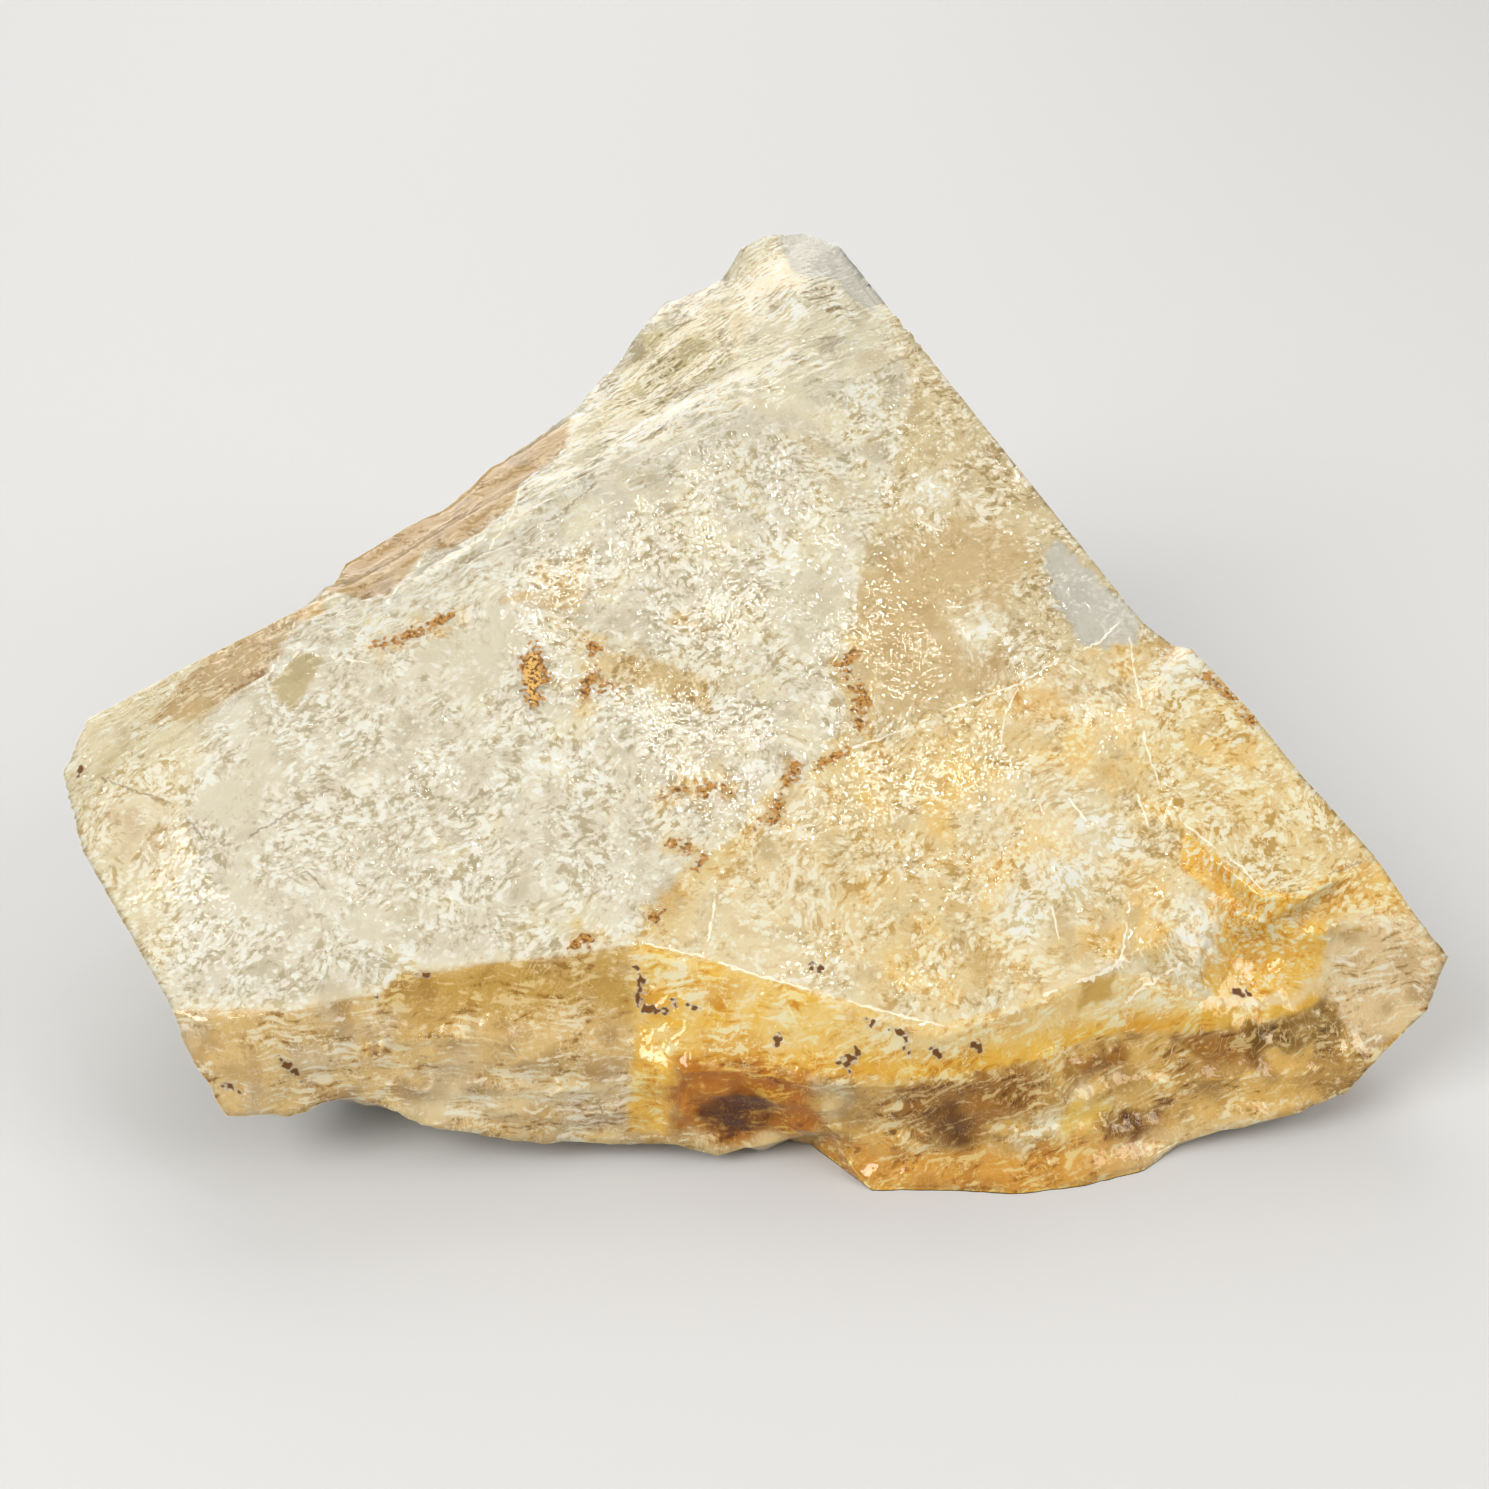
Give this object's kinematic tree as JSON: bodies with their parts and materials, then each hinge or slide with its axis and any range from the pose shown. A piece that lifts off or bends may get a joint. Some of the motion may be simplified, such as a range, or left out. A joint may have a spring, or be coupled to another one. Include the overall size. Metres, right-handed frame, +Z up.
{
  "type": "quartz crystal",
  "caption": "Large broken Herkimer-type quartz crystal, wedge shaped, milky to clear with golden iron stains, lying on its flat underside.",
  "frame": {"origin": "centre of the bounding box's bottom face, on the surface the crystal lies on", "axes": "+Z up; +X along the crystal's length, from its pointed left termination to its right end; -Y toward the broken front, +Y toward the high back and its blunt apex"},
  "size_m": [0.1046, 0.0758, 0.0467],
  "materials": {
    "quartz": "clear to milky quartz with glassy faces, fine veils and golden iron stains"
  },
  "bodies": {
    "root": {"quartz_crystal": "quartz"}
  },
  "joints": []
}
